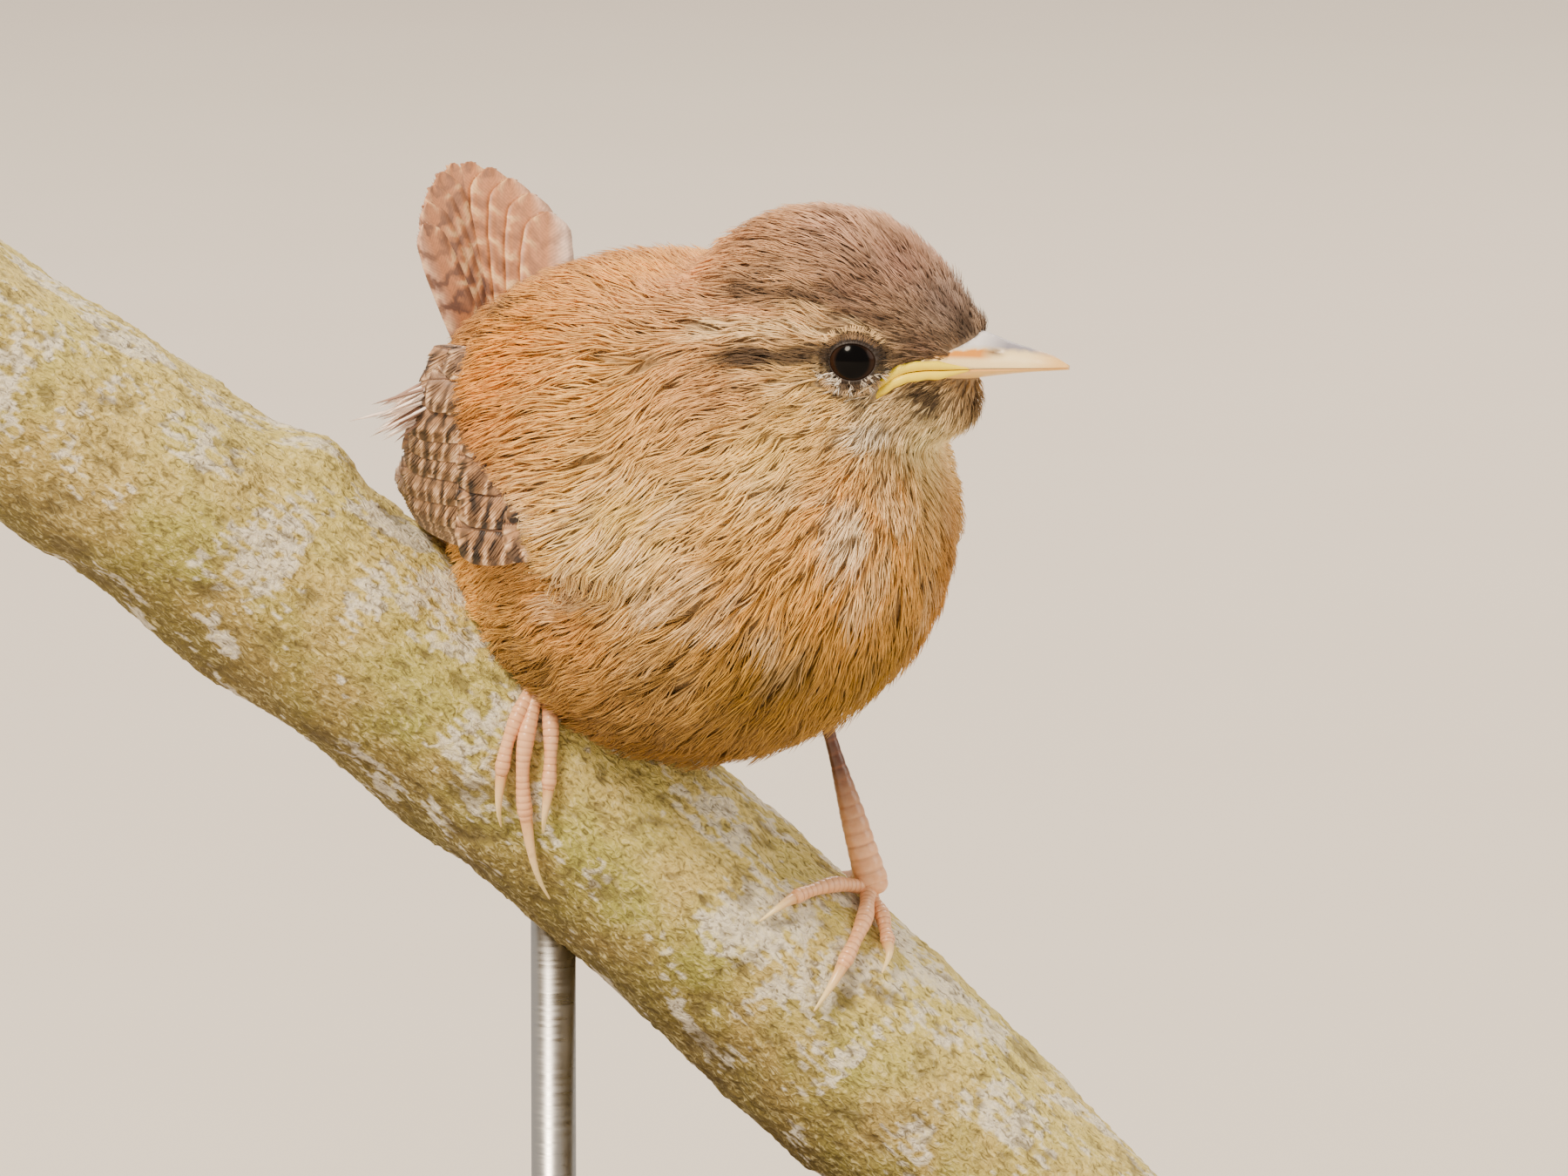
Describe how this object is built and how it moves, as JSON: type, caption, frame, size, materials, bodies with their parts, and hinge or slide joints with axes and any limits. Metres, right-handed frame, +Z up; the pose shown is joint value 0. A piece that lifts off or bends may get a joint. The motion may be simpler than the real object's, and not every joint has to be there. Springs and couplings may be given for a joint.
{
  "type": "wren",
  "caption": "Young wren perched on a short cut branch, a still life-size model held over a flat base by a rod.",
  "frame": {"origin": "centre of the base's underside, on the surface that it stands on", "axes": "+Z up, +X along the branch towards its low end, -Y towards the side that the breast faces"},
  "size_m": [0.1054, 0.062, 0.1052],
  "materials": {
    "plumage": "soft body feathers, tan-brown above and creamy buff below",
    "flight_feathers": "stiff brown feathers barred with darker brown and buff",
    "bill": "horn, grey above and orange-yellow below, with soft yellow gape edges",
    "eye": "wet, black-brown",
    "leg_skin": "scaly flesh-pink skin with pale horn claws",
    "bark": "rough olive bark with pale lichen",
    "stand_wood": "dark stained wood, satin lacquer",
    "stand_metal": "brushed steel rod"
  },
  "bodies": {
    "root": {"torso": "plumage", "neck": "plumage", "head": "plumage", "bill_upper": "bill", "bill_lower": "bill", "eye_left": "eye", "eye_right": "eye", "wing_left": "flight_feathers", "wing_right": "flight_feathers", "tail": "flight_feathers", "leg_right": "leg_skin", "leg_left": "leg_skin", "perch": "bark", "stand_base": "stand_wood", "stand_rod": "stand_metal"}
  },
  "joints": []
}
